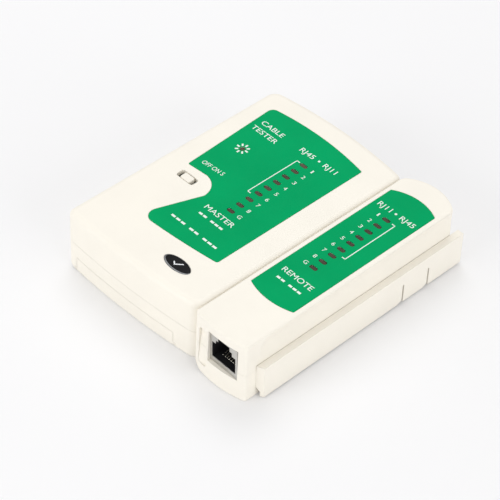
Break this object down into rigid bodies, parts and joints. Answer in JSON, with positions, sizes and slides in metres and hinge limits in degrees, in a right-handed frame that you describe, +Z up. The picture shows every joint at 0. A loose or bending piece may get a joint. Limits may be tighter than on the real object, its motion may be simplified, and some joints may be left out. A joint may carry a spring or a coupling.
{
  "type": "network cable tester",
  "caption": "Two-piece network cable tester: battery-powered master unit with lamps, slide switch and jacks, and a remote unit that slides off a side rail.",
  "frame": {"origin": "centre of the footprint, on the surface that the tester stands on", "axes": "+Z up out of the lamp side, +X from the master towards the remote, +Y along the units away from the remote's jack and the battery door"},
  "size_m": [0.097, 0.1099, 0.027],
  "materials": {
    "case_plastic": "fine satin moulded ABS, warm cream white",
    "label_film": "printed green polycarbonate overlay with white marks",
    "badge_film": "black domed sticker with a silver border",
    "circuit_board": "green solder mask on glass-epoxy board",
    "lamp_lens": "diffused red-brown epoxy, unlit",
    "knob_plastic": "cream moulded acetal, smooth",
    "switch_steel": "tinned steel can",
    "shield_metal": "nickel-plated sheet",
    "jack_plastic": "black moulded nylon",
    "contact_metal": "gold-flashed phosphor bronze",
    "battery_jacket": "painted metal jacket, plain bands",
    "terminal_metal": "nickel-plated press stud",
    "snap_plastic": "soft black vinyl",
    "foam": "closed-cell foam",
    "lead_red": "red PVC insulation",
    "lead_black": "black PVC insulation",
    "chip_plastic": "black epoxy package",
    "resistor_body": "beige lacquer with colour bands",
    "capacitor_sleeve": "dark blue sleeve",
    "diode_body": "orange glass with a black band",
    "screw_steel": "zinc-plated steel"
  },
  "bodies": {
    "master": {"battery_can": "battery_jacket", "battery_foam_pad": "foam", "battery_lead_black": "lead_black", "battery_lead_red": "lead_red", "battery_negative_terminal": "terminal_metal", "battery_positive_terminal": "terminal_metal", "battery_snap": "snap_plastic", "counter_chip": "chip_plastic", "master_board": "circuit_board", "master_bottom_shell": "case_plastic", "master_label": "label_film", "master_lamp_1": "lamp_lens", "master_lamp_2": "lamp_lens", "master_lamp_3": "lamp_lens", "master_lamp_4": "lamp_lens", "master_lamp_5": "lamp_lens", "master_lamp_6": "lamp_lens", "master_lamp_7": "lamp_lens", "master_lamp_8": "lamp_lens", "master_lamp_ground": "lamp_lens", "master_resistors": "resistor_body", "master_rj11_contacts": "contact_metal", "master_rj11_housing": "jack_plastic", "master_rj11_shield": "shield_metal", "master_rj45_contacts": "contact_metal", "master_rj45_housing": "jack_plastic", "master_rj45_shield": "shield_metal", "master_screws": "screw_steel", "master_top_shell": "case_plastic", "oval_badge": "badge_film", "power_lamp": "lamp_lens", "switch_case": "switch_steel", "timer_chip": "chip_plastic", "timing_capacitors": "capacitor_sleeve"},
    "knob": {"switch_knob": "knob_plastic"},
    "door": {"battery_door": "case_plastic"},
    "remote": {"remote_board": "circuit_board", "remote_bottom_shell": "case_plastic", "remote_diodes": "diode_body", "remote_label": "label_film", "remote_lamp_1": "lamp_lens", "remote_lamp_2": "lamp_lens", "remote_lamp_3": "lamp_lens", "remote_lamp_4": "lamp_lens", "remote_lamp_5": "lamp_lens", "remote_lamp_6": "lamp_lens", "remote_lamp_7": "lamp_lens", "remote_lamp_8": "lamp_lens", "remote_lamp_ground": "lamp_lens", "remote_rj45_contacts": "contact_metal", "remote_rj45_housing": "jack_plastic", "remote_rj45_shield": "shield_metal", "remote_screws": "screw_steel", "remote_top_shell": "case_plastic"}
  },
  "joints": [
    {"name": "switch_slide", "type": "slide", "parent": "master", "child": "knob", "axis": [1, 0, 0], "range_m": [-0.0017, 0.0017]},
    {"name": "battery_door_slide", "type": "slide", "parent": "master", "child": "door", "axis": [0, -1, 0], "range_m": [0, 0.045]},
    {"name": "remote_slide", "type": "slide", "parent": "master", "child": "remote", "axis": [0, -1, 0], "range_m": [0, 0.105]}
  ]
}
